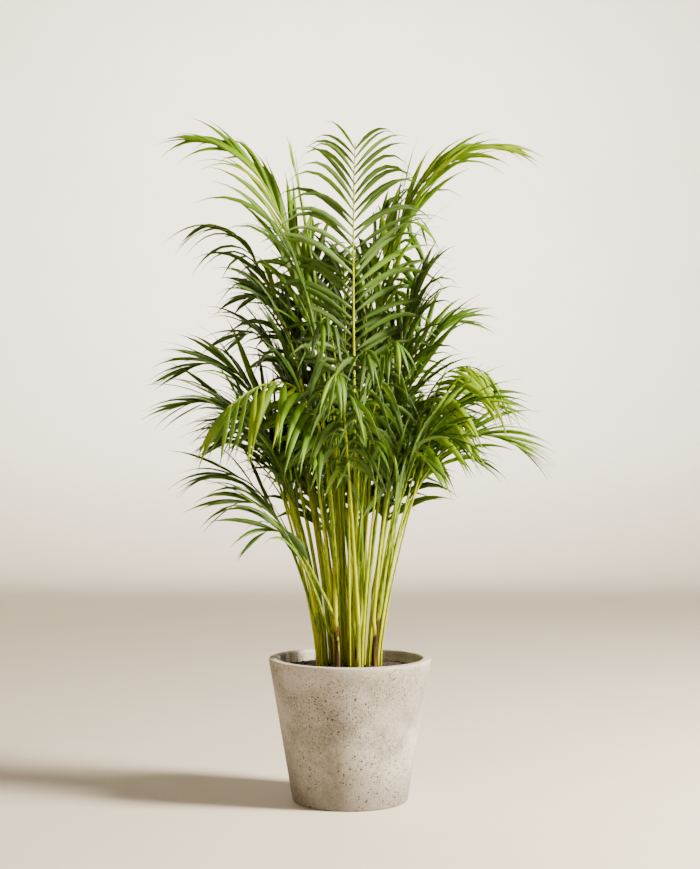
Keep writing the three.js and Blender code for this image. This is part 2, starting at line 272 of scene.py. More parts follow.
def backdrop():
    sheet = bmesh.new()
    floor_end = Vector((ROOM_RADIUS - CORNER, 0, 0))
    outline = [Vector((0, 0, 0)), floor_end]
    for step in range(1, CORNER_STEPS + 1):
        angle = math.radians(90 * step / CORNER_STEPS)
        outline.append(floor_end + Vector((math.sin(angle), 0, 1 - math.cos(angle))) * CORNER)
    outline.append(Vector((ROOM_RADIUS, 0, ROOM_HEIGHT)))
    spin_round(sheet, [sheet.verts.new(corner) for corner in outline], 96)
    bmesh.ops.reverse_faces(sheet, faces=sheet.faces)
    mesh = bpy.data.meshes.new("backdrop")
    sheet.to_mesh(mesh)
    sheet.free()
    return bpy.data.objects.new("backdrop", mesh)


paper = Finish("backdrop_paper")
paper_tone = paper.noise(3, detail=3).ramp(0.3, 0.7)
paper_height = paper.node("ShaderNodeSeparateXYZ", sockets={0: paper.position()}, output="Z")
paper_colour = paper.blend(paper_height.ramp(0.0, 0.8), paint(204, 195, 181), paint(224, 218, 206))
paper_colour = paper.blend(paper_tone * 0.25, paper_colour, paint(212, 204, 190))
paper.done(paper.surface(Base_Color=paper_colour, Roughness=0.9))
room = backdrop()
room.data.materials.append(paper.material)
bpy.context.scene.collection.objects.link(room)
print("backdrop faces:", len(room.data.polygons))


# %% [markdown]
# ## Lights
#
# Daylight comes through a tall window to the right: one large warm area light, which gives the leaves their bright
# and shaded sides. A very weak one in front opens the darkest shadows. Four more face outwards and light the
# wall alone, and the side that is seen behind the plant gets the most.

# %% Lights
WASH_FROM, WASH_TO = 4, ROOM_RADIUS
WASH_HEIGHT, WASH_AIM = 4.6, 1.6
WASH_POWER = {90: 360, 0: 110, 180: 70, 270: 70}


def lamp(name, power, colour, at, target, size):
    """A rectangular area light that looks at a target."""
    data = bpy.data.lights.new(name, "AREA")
    data.energy = power
    data.color = colour
    data.shape = "RECTANGLE"
    data.size, data.size_y = size
    made = bpy.data.objects.new(name, data)
    made.location = at
    made.rotation_euler = (Vector(target) - Vector(at)).to_track_quat("-Z", "Y").to_euler()
    bpy.context.scene.collection.objects.link(made)
    return made


lamp("window", 1020, (1.0, 0.91, 0.74), (3.2, -1.0, 2.1), (0, 0, 0.75), (0.8, 1.8))
lamp("soft_front", 5, (1.0, 0.98, 0.94), (0.6, -3.6, 2.6), (0, 0, 0.7), (2.5, 2.5))
for side, power in WASH_POWER.items():
    at = bearing(side) * WASH_FROM + UP * WASH_HEIGHT
    target = bearing(side) * WASH_TO + UP * WASH_AIM
    wash = lamp(f"wall_wash_{side}", power, (1.0, 0.95, 0.88), at, target, (4, 1.5))
    wash.data.spread = math.radians(100)

world = bpy.data.worlds.new("surroundings")
world.use_nodes = True
world.node_tree.nodes["Background"].inputs["Color"].default_value = (0.93, 0.95, 1.0, 1)
world.node_tree.nodes["Background"].inputs["Strength"].default_value = 0.04
bpy.context.scene.world = world

# %% [markdown]
# ## The plant's measures
#
# The planter's and the clump's sizes are those of the frame, so that each made piece fits round its solid. Two are
# read from the frame's own planter box, and the rest follow from them or are written here.

# %% Sizes, in millimetres
_, planter_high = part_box("planter")
POT_HEIGHT = planter_high.z / MM
POT_GIRTH = planter_high.x / MM
POT_BASE = 117
POT_WALL = 18
POT_FLOOR = 22
POT_EDGE = 4
POT_RIM = POT_BASE + (POT_GIRTH - POT_BASE) * POT_HEIGHT / (POT_HEIGHT - POT_EDGE)
SOIL_TOP = POT_HEIGHT - 16
MOUND = 6
CLUMP = 60
CANE_FOOT = 6.5
CANE_TOP = 4.8
PETIOLE = 4.2
MIDRIB_TIP = 1.0
print("planter:", round(POT_HEIGHT), "high and", round(2 * POT_GIRTH), "across")

# %% [markdown]
# ## How each frond grows
#
# Fronds of one palm differ with their age and place: the newest are closed spears, the top ones arch and open like
# a fan, and the oldest hang. A habit gives the bare part of the midrib, the number of leaflet pairs, the longest
# leaflet and its width, how far leaflets stand off the midrib at both ends of the blade, how far they lift and
# droop, and how much shorter they are at the tip. A large knee keeps a leaflet straight for longer before it bends.
#
# A cane's row is its bearing, its ring (1 is the edge of the clump), its height and its lean. A frond's row is its
# cane and place, the bearing of its arch, the reach and height of its tip, the point the arch aims at (again reach
# and height), its habit, and a turn of the blade about its own midrib. Heights count from the potting mix.

# %% Habits and rows
HABITS = {
    "fan": dict(
        bare=0.45, pairs=27, leaflet=225, width=12, splay=(58, 35), lift=8, droop=0.9, knee=1.9, short=0.5
    ),
    "crown": dict(
        bare=0.47, pairs=22, leaflet=225, width=13, splay=(21, 8), lift=2, droop=0.6, knee=1.2, short=0.45
    ),
    "arch": dict(
        bare=0.48, pairs=17, leaflet=215, width=13, splay=(34, 11), lift=8, droop=0.45, knee=1.3, short=0.52
    ),
    "hook": dict(
        bare=0.50, pairs=13, leaflet=185, width=13, splay=(26, 9), lift=0, droop=0.9, knee=0.9, short=0.4
    ),
    "screen": dict(
        bare=0.36, pairs=24, leaflet=230, width=17, splay=(48, 16), lift=8, droop=0.6, knee=1.2, short=0.5
    ),
    "spray": dict(
        bare=0.5, pairs=15, leaflet=215, width=18, splay=(68, 30), lift=-48, droop=1.1, knee=0.9, short=0.3
    ),
    "veil": dict(
        bare=0.56, pairs=14, leaflet=140, width=13, splay=(52, 18), lift=0, droop=1.9, knee=0.7, short=0.35
    ),
    "skirt": dict(
        bare=0.58, pairs=6, leaflet=190, width=14, splay=(24, 7), lift=6, droop=0.55, knee=1.3, short=0.52
    ),
    "spear": dict(
        bare=0.60, pairs=9, leaflet=165, width=11, splay=(12, 6), lift=4, droop=0.05, knee=1.3, short=0.5
    ),
}
CANES = {
    "a": (5, 1.0, 150, 6),
    "b": (45, 1.0, 130, 6),
    "c": (85, 1.0, 140, 6),
    "d": (125, 1.0, 120, 6),
    "e": (165, 1.0, 130, 6),
    "f": (205, 1.0, 110, 7),
    "g": (245, 1.0, 100, 5),
    "h": (285, 1.0, 90, 3),
    "i": (325, 1.0, 110, 5),
    "j": (25, 0.46, 190, 2),
    "k": (115, 0.46, 180, 2),
    "l": (205, 0.46, 200, 2),
    "m": (295, 0.46, 170, 1),
    "n": (0, 0.0, 220, 0),
}
# Where the three fronds of a cane leave it: a share of its height, and a turn from its bearing.
LEAVES = {"low": (0.5, -100), "middle": (0.76, 100), "top": (1, 0)}
FRONDS = [
    ("l", "top", 178, 290, 1070, 80, 1035, "crown", -50),
    ("j", "top", 2, 300, 1060, 20, 1070, "crown", 40),
    ("m", "top", 275, 120, 1045, 25, 960, "fan", 0),
    ("l", "middle", 176, 300, 900, 140, 915, "hook", -30),
    ("j", "middle", 20, 155, 920, 75, 950, "veil", 25),
    ("j", "low", 350, 140, 770, 95, 660, "crown", 45),
    ("e", "top", 178, 330, 605, 165, 680, "arch", -25),
    ("f", "top", 190, 335, 530, 155, 585, "arch", -25),
    ("g", "top", 217, 300, 520, 35, 720, "spray", 0),
    ("h", "top", 262, 210, 570, 130, 690, "veil", 0),
    ("i", "top", 345, 290, 530, 135, 590, "arch", 20),
    ("a", "top", 350, 285, 590, 135, 690, "spray", 10),
    ("b", "top", 20, 235, 705, 105, 705, "arch", 30),
    ("a", "middle", 357, 335, 450, 150, 545, "arch", 20),
    ("e", "middle", 165, 270, 500, 150, 560, "arch", -15),
    ("f", "middle", 198, 250, 470, 140, 530, "arch", -20),
    ("i", "middle", 333, 230, 460, 120, 530, "arch", 20),
    ("e", "low", 175, 250, 455, 155, 500, "skirt", -25),
    ("f", "low", 187, 290, 385, 160, 430, "skirt", -25),
    ("g", "low", 215, 210, 275, 145, 320, "skirt", -30),
    ("g", "middle", 202, 250, 330, 165, 375, "skirt", -30),
    ("i", "low", 322, 190, 420, 95, 510, "skirt", 25),
    ("h", "low", 290, 150, 450, 90, 510, "skirt", 0),
    ("a", "low", 12, 260, 420, 125, 490, "skirt", 15),
    ("n", "top", 175, 115, 1020, 70, 835, "spear", 0),
    ("n", "middle", 60, 170, 960, 60, 880, "arch", -30),
    ("n", "low", 205, 150, 850, 60, 780, "arch", -30),
    ("l", "low", 188, 180, 750, 105, 750, "arch", -35),
    ("m", "middle", 250, 170, 685, 100, 785, "veil", 0),
    ("m", "low", 300, 190, 645, 110, 725, "veil", 0),
    ("k", "top", 95, 200, 850, 70, 880, "screen", 20),
    ("k", "middle", 120, 220, 900, 110, 930, "screen", 0),
    ("k", "low", 150, 230, 760, 110, 800, "screen", 25),
    ("c", "top", 80, 260, 720, 140, 800, "screen", 0),
    ("d", "top", 150, 260, 680, 140, 730, "screen", 20),
    ("h", "middle", 280, 190, 620, 110, 720, "veil", 0),
    ("b", "middle", 40, 290, 520, 160, 600, "screen", 0),
    ("c", "middle", 75, 270, 500, 150, 590, "screen", 0),
    ("d", "middle", 112, 280, 470, 155, 560, "screen", 0),
    ("b", "low", 52, 260, 450, 150, 500, "skirt", 0),
    ("c", "low", 88, 250, 440, 140, 490, "skirt", 0),
    ("d", "low", 128, 270, 450, 150, 500, "skirt", 0),
]
print("canes:", len(CANES), "fronds:", len(FRONDS))

# %% [markdown]
# ## Cast concrete
#
# Cast concrete is grey-beige and cloudy, and its face is pitted where air bubbles sat against the mould. The clouds
# are two sizes of noise. The pits are cells of a Voronoi pattern: only some cells have one, each with its own
# size, and the same number lowers the surface through a Bump node and darkens the colour as painted shade in the
# pits. The planter is also darker towards the bottom, and a painted highlight runs along the top of its rim.


# %% Concrete finish
def pits(finish, scale, share, size, crowd):
    """1 in a pit and 0 on the face between. Share is how many cells have one, and size its radius in cells."""
    settings = {"feature": "F1"}
    sockets = {"Vector": finish.position(), "Scale": scale}
    cells = finish.node("ShaderNodeTexVoronoi", settings, sockets)
    chance = finish.node("ShaderNodeTexVoronoi", settings, sockets, output="Color")
    luck = finish.node("ShaderNodeSeparateColor", sockets={0: chance})
    radius = luck.ramp(1 - share, 1 - share * 0.3) * crowd * size
    ragged = cells + (finish.noise(scale * 2.5, detail=2) - 0.5) * 0.16
    return (radius - ragged).math("MULTIPLY", 9).math("MINIMUM", 1).math("MAXIMUM", 0)


def concrete_finish():
    made = Finish("cast_concrete")
    height = made.node("ShaderNodeSeparateXYZ", sockets={0: made.position()}, output="Z")
    clouds = made.noise(7, detail=6, roughness=0.6)
    grain = made.noise(160, detail=5, roughness=0.7)
    stains = made.noise(16, detail=5, roughness=0.65)
    colour = made.blend(clouds.ramp(0.34, 0.68), paint(118, 111, 101), paint(172, 164, 153))
    colour = made.blend(stains.ramp(0.5, 0.75) * 0.28, colour, paint(112, 98, 82))
    colour = made.blend(grain.ramp(0.45, 0.75) * 0.4, colour, paint(192, 184, 172))
    colour = made.blend(grain.ramp(0.5, 0.28) * 0.45, colour, paint(80, 71, 60))
    # Darker towards the bottom of the planter, mottled by the clouds.
    darker_bottom = height.ramp(0.11, 0.0) * (0.4 + clouds * 0.5)
    colour = made.blend(darker_bottom, colour, paint(90, 85, 78))
    # A painted highlight: a lighter band along the top of the rim, where the light falls on it.
    colour = made.blend(height.ramp(0.280, 0.288) * 0.5, colour, paint(178, 172, 162))
    crowd = made.noise(9, detail=2).ramp(0.34, 0.58) * 0.45 + 0.55
    large = pits(made, 90, 0.6, 0.25, crowd)
    small = pits(made, 165, 0.85, 0.32, crowd)
    tiny = pits(made, 330, 0.85, 0.38, crowd) * 0.8
    holes = (large + small + tiny).math("MINIMUM", 1)
    # The pits are painted dark: painted shade in the hollows.
    colour = made.blend(holes * 0.9, colour, paint(38, 31, 24))
    relief = grain * 0.25 + clouds * 0.3 - holes
    return made.done(
        made.surface(
            Base_Color=colour,
            Roughness=0.82 + grain * 0.12,
            Normal=made.bump(relief, 0.55, 0.0012),
        )
    )


concrete = concrete_finish()
print("concrete nodes:", len(concrete.node_tree.nodes))

# %% [markdown]
# ## The planter
#
# The planter is turned: its wall has the same outline all round. So its outline is drawn once, from the middle of
# the underside up the outer face, over the rounded rim and down inside, and spun about the upright axis.


# %% Planter
def outer_radius(height):
    """The planter's outer radius at a height."""
    return POT_BASE + (POT_RIM - POT_BASE) * height / POT_HEIGHT


# The wall's thickness measured on the level, which is more than square to the sloping face.
WALL_LEVEL = POT_WALL * math.hypot(1, (POT_RIM - POT_BASE) / POT_HEIGHT)
WALL_STEPS = 12
FLAT_MARGIN = 30


def rounded(corner, before, after, steps=5):
    """Points of a soft corner, from before it to after it."""
    shares = [step / steps for step in range(steps + 1)]
    return [mix(mix(before, corner, s), mix(corner, after, s), s) for s in shares]


def planter_outline():
    """Radii and heights, from the middle of the underside round to the middle of the inner floor."""
    shoulder = POT_HEIGHT - POT_EDGE
    inner = outer_radius(POT_HEIGHT) - WALL_LEVEL
    points = [Vector((0, 0)), Vector((POT_BASE - FLAT_MARGIN, 0))]
    points += rounded(
        Vector((POT_BASE, 0)), Vector((POT_BASE - POT_EDGE, 0)), Vector((outer_radius(POT_EDGE), POT_EDGE))
    )
    for step in range(1, WALL_STEPS):
        height = mix(POT_EDGE, shoulder, step / WALL_STEPS)
        points.append(Vector((outer_radius(height), height)))
    points += rounded(
        Vector((POT_RIM, POT_HEIGHT)),
        Vector((outer_radius(shoulder), shoulder)),
        Vector((POT_RIM - POT_EDGE, POT_HEIGHT)),
    )
    points += rounded(
        Vector((inner, POT_HEIGHT)),
        Vector((inner + POT_EDGE, POT_HEIGHT)),
        Vector((outer_radius(shoulder) - WALL_LEVEL, shoulder)),
    )
    points.append(Vector((outer_radius(POT_FLOOR) - WALL_LEVEL, POT_FLOOR)))
    points.append(Vector((0, POT_FLOOR)))
    return points


def spun(outline, steps):
    """A closed body from an outline of radii and heights in millimetres, spun about the upright axis."""
    body = bmesh.new()
    spin_round(body, [body.verts.new((p.x * MM, 0, p.y * MM)) for p in outline], steps)
    return body


planter = place(spun(planter_outline(), 96), "planter_shell", "root", ["planter"], "planter", concrete)
print("planter faces:", len(planter.data.polygons))

# %% [markdown]
# ## Potting mix
#
# The mix is dark bark and peat, still a little damp, so it hardly shines. One noise gives crumbs of bark, and each
# loose crumb has a tone of its own. A ramp turns the two into four browns, from peat to dry bark.


# %% Mix finish
def mix_finish():
    made = Finish("bark_and_peat")
    crumbs = made.noise(150, detail=5, roughness=0.7)
    patches = made.noise(28, detail=3)
    tone = made.attribute("tone")
    colour = made.shades(
        crumbs * 0.7 + tone * 0.3,
        (0.25, paint(8, 5, 2)),
        (0.5, paint(30, 17, 5)),
        (0.72, paint(66, 40, 13)),
        (0.9, paint(110, 78, 42)),
    )
    colour = made.blend(patches.ramp(0.45, 0.7) * 0.4, colour, paint(36, 23, 11))
    return made.done(
        made.surface(Base_Color=colour, Roughness=0.95, Normal=made.bump(crumbs, 0.9, 0.002))
    )


bark = mix_finish()
print("mix nodes:", len(bark.node_tree.nodes))


# %% [markdown]
# ## The mound and its crumbs
#
# The mix fills the planter and rises a little to its middle. The mound is a spun outline whose top is pushed about
# at random, and loose crumbs lie on it: small spheres with uneven corners, each turned, stretched and sized from a
# fixed seed, so that the same mound comes out each time.

# %% Mix and crumbs
WALL_GAP = 0.35
FLOOR_GAP = 0.4
MOUND_STEPS = 12
CRUMBS = 1500
CRUMB_SIZES = (1.3, 1.8, 2.4, 3.4)
CRUMB_REACH = 136
BED_ROUGHNESS = 1.6


def mound():
    edge = outer_radius(SOIL_TOP - MOUND) - WALL_LEVEL - WALL_GAP
    foot = outer_radius(POT_FLOOR) - WALL_LEVEL - WALL_GAP
    outline = [Vector((0, POT_FLOOR + FLOOR_GAP)), Vector((foot, POT_FLOOR + FLOOR_GAP))]
    for step in range(MOUND_STEPS + 1):
        share = step / MOUND_STEPS
        height = mix(SOIL_TOP - MOUND, SOIL_TOP, ease(share * 1.6))
        outline.append(Vector((edge * (1 - share), height)))
    return spun(outline, 72)


def pebble(into, rng, at, size, tone_layer):
    """Adds one crumb."""
    made = bmesh.ops.create_icosphere(into, subdivisions=1, radius=1)["verts"]
    stretch = Vector((rng.uniform(0.6, 1.6), rng.uniform(0.6, 1.2), rng.uniform(0.4, 0.8))) * size
    turn = Quaternion(UP, rng.uniform(0, 6.28)) @ Quaternion((1, 0, 0), rng.uniform(-0.6, 0.6))
    tone = rng.random()
    for corner in made:
        rough = corner.co * rng.uniform(0.8, 1.15)
        corner.co = at + turn @ Vector((rough.x * stretch.x, rough.y * stretch.y, rough.z * stretch.z))
        corner[tone_layer] = tone


def potting_mix():
    rng = random.Random(4)
    body = mound()
    tone_layer = body.verts.layers.float.new("tone")
    for corner in body.verts:
        if corner.co.z > (SOIL_TOP - MOUND - 1) * MM:
            corner.co.z += rng.uniform(-BED_ROUGHNESS, BED_ROUGHNESS) * MM
        corner[tone_layer] = 0.3
    for _ in range(CRUMBS):
        reach = CRUMB_REACH * math.sqrt(rng.random())
        height = mix(SOIL_TOP, SOIL_TOP - MOUND, ease((reach - 50) / 80))
        size = rng.choice(CRUMB_SIZES) * MM
        at = bearing(rng.uniform(0, 360)) * reach * MM + UP * (height * MM + size * 0.2)
        pebble(body, rng, at, size, tone_layer)
    return body


soil = place(potting_mix(), "potting_mix_bed", "root", ["potting_mix"], "potting_mix", bark)
print("mix faces:", len(soil.data.polygons))

# %% [markdown]
# ## Petiole skin
#
# Petioles and midribs have a smooth waxy skin, yellow-green in the sun and greener in the shade, with fine lines
# along them. The lines are noise stretched along the stalk, and their light streaks are partly a painted highlight.
# How far along a point is and how green its stalk is come from two mesh attributes, so one material does for every
# stalk.


# %% Stalk finish
def stalk_finish(name, old, young, tip):
    made = Finish(name)
    along = made.attribute("along")
    tone = made.attribute("tone")
    lines = made.noise(1, detail=3, vector=made.stretched(420, 420, 14))
    spots = made.noise(60, detail=4)
    colour = made.blend(along.ramp(0.0, 0.35), old, young)
    colour = made.blend(along.ramp(0.55, 1.0), colour, tip)
    colour = made.blend(tone.ramp(0.25, 0.6) * 0.85, colour, paint(48, 84, 6))
    # The light streaks are partly real lines and partly a painted highlight.
    colour = made.blend(lines.ramp(0.45, 0.7) * 0.6, colour, paint(184, 188, 0))
    colour = made.blend(lines.ramp(0.5, 0.2) * 0.6, colour, paint(46, 70, 6))
    dry = spots.ramp(0.6, 0.72) * along.ramp(0.25, 0.0)
    colour = made.blend(dry * 0.7, colour, paint(118, 92, 48))
    return made.done(
        made.surface(
            Base_Color=colour,
            Roughness=0.45 + lines * 0.2,
            Specular_IOR_Level=0.16,
            Normal=made.bump(lines, 0.25, 0.0006),
        )
    )


petiole_skin = stalk_finish("petiole_skin", paint(148, 150, 0), paint(140, 154, 0), paint(96, 134, 4))
print("petiole nodes:", len(petiole_skin.node_tree.nodes))


# %% [markdown]
# ## Leaf skin
#
# A leaflet is dark above and paler below, with a pale middle vein and fine veins beside it, and light shines
# through it. So its material mixes a glossy surface with a Translucent shader. Each leaflet carries its own numbers
# as mesh attributes: along it, across it, upper or under side, and its own tone.

# %% Leaf finish
def leaf_finish():
    made = Finish("palm_leaf")
    along = made.attribute("along")
    across = made.attribute("across")
    under = made.attribute("under")
    tone = made.attribute("tone")
    blotches = made.noise(22, detail=3)
    shade = tone + (blotches - 0.5) * 0.22
    colour = made.shades(
        shade,
        (0.0, paint(14, 30, 3)),
        (0.3, paint(42, 75, 4)),
        (0.62, paint(98, 136, 6)),
        (1.0, paint(172, 190, 12)),
    )
    veins = (across * 42).math("SINE") * 0.5 + 0.5
    colour = made.blend(veins * 0.14, colour, paint(120, 160, 40))
    midvein = abs(across).ramp(0.10, 0.02)
    colour = made.blend(midvein * 0.45, colour, paint(140, 170, 50))
    foot = along.ramp(0.10, 0.0)
    colour = made.blend(foot * 0.6, colour, paint(160, 176, 70))
    colour = made.blend(under * 0.3, colour, paint(96, 130, 50))
    dry = (along + blotches * 0.12).ramp(1.02, 1.08) * tone.ramp(0.8, 0.3)
    colour = made.blend(dry * 0.8, colour, paint(150, 118, 62))
    skin = made.surface(
        Base_Color=colour,
        Roughness=0.36 + under * 0.2 + blotches * 0.14,
        Specular_IOR_Level=0.35,
        Normal=made.bump(veins + midvein * 2, 0.22, 0.0004),
    )
    glow = made.node("ShaderNodeBsdfTranslucent", sockets={"Color": paint(168, 196, 6)})
    thin = 0.1 + shade * 0.4
    return made.done(made.node("ShaderNodeMixShader", sockets={0: thin, 1: skin, 2: glow}))


leaf_skin = leaf_finish()
print("leaf nodes:", len(leaf_skin.node_tree.nodes))

# %% [markdown]
# ## A rod along a path
#
# Canes, petioles and midribs are all rods that follow a path and change thickness. A cone with equal ends is cut
# across at even steps, which gives it rings, and then each ring is carried to its place on the path.


# %% Rod
def rod(sides, rings, path, radius, frame_at, tone, lowest=0.0):
    """path, radius and frame_at take a share of the length. frame_at gives the side and face directions."""
    made = bmesh.new()
    bmesh.ops.create_cone(made, segments=sides, radius1=1, radius2=1, depth=1, cap_ends=True)
    bmesh.ops.translate(made, verts=made.verts, vec=(0, 0, 0.5))
    for ring in range(1, rings):
        everything = made.verts[:] + made.edges[:] + made.faces[:]
        bmesh.ops.bisect_plane(made, geom=everything, plane_co=(0, 0, ring / rings), plane_no=(0, 0, 1))
    along_layer = made.verts.layers.float.new("along")
    tone_layer = made.verts.layers.float.new("tone")
    for corner in made.verts:
        share = mix(lowest, 1, corner.co.z)
        side, face = frame_at(share)
        girth = radius(share)
        corner[along_layer] = share
        corner[tone_layer] = tone
        corner.co = (path(share) + (side * corner.co.x + face * corner.co.y) * girth) * MM
    for facet in made.faces:
        facet.smooth = len(facet.verts) == 4
    return made


# %% [markdown]
# ## Where the canes stand
#
# The canes come out of the mix in two rings round one in the middle, and lean outward as they rise, so their tops
# have room for their fronds. A cane's path is a straight line with an outward sweep that grows with the square of
# the height.

# %% Cane paths
SIDE, FACE = Vector((1, 0, 0)), Vector((0, 1, 0))


def upright(share):
    """A rod's side and face directions where it doesn't turn."""
    return SIDE, FACE


def cane_path(name):
    degrees, ring, height, lean = CANES[name]
    out = bearing(degrees)
    foot = out * CLUMP * ring + UP * SOIL_TOP
    sweep = height * math.tan(math.radians(lean))
    return lambda share: foot + UP * height * share + out * sweep * max(share, 0) ** 2


def cane_radius(share):
    return mix(CANE_FOOT, CANE_TOP, max(share, 0))


# %% [markdown]
# ## Canes
#
# A cane is ringed where old fronds fell off, every few centimetres, and the oldest keep strips of dry brown
# sheath at their feet. The rings are real bulges in the rod's outline, and the material colours them. The sheath is
# a stretched noise that covers less and less of the cane as it rises, and its near-black brown is partly painted
# shade between the canes. Light streaks along the canes are partly a painted highlight.

# %% Cane finish
CANE_RINGS = 5


def cane_finish(name, sheath):
    made = Finish(name)
    along = made.attribute("along")
    tone = made.attribute("tone")
    lines = made.noise(1, detail=3, vector=made.stretched(300, 300, 12))
    patches = made.noise(1, detail=4, vector=made.stretched(90, 90, 22))
    colour = made.blend(along.ramp(0.0, 0.9), paint(110, 112, 2), paint(126, 138, 1))
    colour = made.blend(tone.ramp(0.3, 0.7) * 0.85, colour, paint(50, 78, 8))
    # The light streaks are partly real lines and partly a painted highlight.
    colour = made.blend(lines.ramp(0.45, 0.72) * 0.5, colour, paint(178, 180, 0))
    ring = abs((along * CANE_RINGS).math("FRACT") - 0.5).ramp(0.44, 0.49)
    colour = made.blend(ring * 0.55, colour, paint(120, 104, 60))
    # The dry sheath is real, and its near-black brown is partly painted shade between the canes.
    dry = (patches - along * 0.25 + sheath).ramp(0.5, 0.58)
    colour = made.blend(dry, colour, paint(30, 20, 6))
    colour = made.blend(dry * lines.ramp(0.4, 0.7) * 0.6, colour, paint(110, 84, 34))
    return made.done(
        made.surface(
            Base_Color=colour,
            Roughness=0.46 + dry * 0.4,
            Specular_IOR_Level=0.16,
            Normal=made.bump(lines + dry * 2, 0.35, 0.001),
        )
    )


cane_skin = cane_finish("cane_skin", 0.06)
old_cane_skin = cane_finish("old_cane_skin", 0.3)


# %% Canes
OLD_CANES = ("g", "i", "d")
CANE_BURIED = 20


def cane_girth(share):
    near = abs((share * CANE_RINGS) % 1 - 0.5) * 2
    return cane_radius(share) * (0.97 + 0.07 * ease((near - 0.86) / 0.14))


cane_rng = random.Random(11)
for name in CANES:
    buried = -CANE_BURIED / CANES[name][2]
    body = rod(12, 36, cane_path(name), cane_girth, upright, cane_rng.random(), lowest=buried)
    skin = old_cane_skin if name in OLD_CANES else cane_skin
    place(body, f"cane_{name}_stem", "root", [f"cane_{name}"], "cane", skin)
print("canes made:", len(CANES))

# %% [markdown]
# ## Young shoots
#
# Between the canes stand thin shoots, one season old: closed spears on long bare stalks that reach into the leaves.
# They fill the clump and carry nothing, so the frame leaves them out. Each is a rod that fans out with the clump,
# and three stand on the inner side of every cane.


# %% Young shoots
SHOOTS_EACH = 3
SHOOT_RADIUS = 3.2
SHOOT_HEIGHTS = (380, 520)
SHOOT_APART = (9, 20)
SHOOT_BURIED = 15
FAN_OUT, FAN_CURVE, FAN_HEIGHT = 1.5, 1.4, 430


def shoot_path(foot, height):
    """Fans out from the clump's middle, by FAN_OUT of the foot's distance from it at FAN_HEIGHT."""
    out = Vector((foot.x, foot.y, 0)) * FAN_OUT
    return lambda share: foot + UP * height * share + out * (height / FAN_HEIGHT * max(share, 0)) ** FAN_CURVE


def shoot_girth(radius):
    return lambda share: mix(radius, radius * 0.4, max(share, 0) ** 2)


def gathered(bodies):
    """Several rods as one piece."""
    whole = bmesh.new()
    for name in ("along", "tone"):
        whole.verts.layers.float.new(name)
    for body in bodies:
        mesh = bpy.data.meshes.new("rod")
        body.to_mesh(mesh)
        body.free()
        whole.from_mesh(mesh)
        bpy.data.meshes.remove(mesh)
    return whole


def shoots(name, rng):
    """The shoots round one cane."""
    cane_foot = cane_path(name)(0)
    bodies = []
    for _ in range(SHOOTS_EACH):
        inward = CANES[name][0] + 180
        beside = bearing(inward + rng.uniform(-105, 105)) * rng.uniform(*SHOOT_APART)
        height = rng.uniform(*SHOOT_HEIGHTS)
        girth = shoot_girth(SHOOT_RADIUS * rng.uniform(0.75, 1.15))
        path = shoot_path(cane_foot + beside, height)
        bodies.append(rod(7, 12, path, girth, upright, rng.random() * 0.6, lowest=-SHOOT_BURIED / height))
    return gathered(bodies)


shoot_rng = random.Random(23)
for name in CANES:
    place(shoots(name, shoot_rng), f"shoots_{name}", "root", None, "frond", petiole_skin)
print("shoots:", SHOOTS_EACH * len(CANES))

# %% [markdown]
# ## The arch of a frond
#
# A frond is one grown piece. Its petiole rises from the cane, widens into a sheath where it clasps it, and becomes
# the midrib that carries the leaflets. Both follow one smooth Bezier arch, which leaves the cane towards an aim and
# comes to the tip from it. A Bezier's own steps bunch up in its bends, so the arch is measured and cut evenly.

# %% Midrib arch
ARM = 0.7
FINE_STEPS = 400
STATIONS = 64
CLASP = 0.1
NEAR = 0.02


def bezier(a, b, c, d, t):
    """The point at share t of the curve from a to d that b and c pull on."""
    s = 1 - t
    return a * s**3 + b * 3 * s * s * t + c * 3 * s * t * t + d * t**3


class Arch:
    """The path of one petiole and midrib, with even steps along it."""

    def __init__(self, cane, spot, degrees, reach, height, lead, rise, roll):
        self.cane = cane
        share, beside = LEAVES[spot]
        start = cane_path(cane)(share)
        out = bearing(degrees)
        if share < 1:
            start += bearing(CANES[cane][0] + beside) * (cane_radius(share) + PETIOLE)
        aim = out * lead + UP * (SOIL_TOP + rise)
        tip = out * reach + UP * (SOIL_TOP + height)
        ends = (start, mix(start, aim, ARM), mix(tip, aim, ARM), tip)
        fine = [bezier(*ends, step / FINE_STEPS) for step in range(FINE_STEPS + 1)]
        lengths = [0.0]
        for before, after in zip(fine, fine[1:]):
            lengths.append(lengths[-1] + (after - before).length)
        self.points = []
        at = 0
        for step in range(STATIONS + 1):
            wanted = lengths[-1] * step / STATIONS
            while at < FINE_STEPS - 1 and lengths[at + 1] < wanted:
                at += 1
            part = (wanted - lengths[at]) / max(lengths[at + 1] - lengths[at], 1e-9)
            self.points.append(mix(fine[at], fine[at + 1], part))
        self.level = bearing(degrees - 90)
        self.roll = math.radians(roll)

    def point(self, share):
        """A point of the arch. The first tenth grows along the cane, which it clasps."""
        at = min(max(share, 0), 1) * STATIONS
        low = min(int(at), STATIONS - 1)
        point = mix(self.points[low], self.points[low + 1], at - low)
        height = (point.z - SOIL_TOP) / CANES[self.cane][2]
        return mix(cane_path(self.cane)(min(height, 1)), point, ease(share / CLASP))

    def frame(self, share):
        """Along the midrib, to its side and out of its upper face."""
        along = (self.point(share + NEAR) - self.point(share - NEAR)).normalized()
        side = (self.level - along * self.level.dot(along)).normalized()
        turn = Quaternion(along, self.roll * ease((share - CLASP) / 0.4))
        side = turn @ side
        return along, side, side.cross(along)


# %% [markdown]
# ## One flat leaflet
#
# A leaflet is a strip of leaf with a thickness. A grid is made solid once, and marked with how far along and across
# each corner is and on which face. Every leaflet of the plant starts as a copy of it, which is much quicker than
# making each from nothing.

# %% Leaflet template
LEAFLET_STEPS = 7


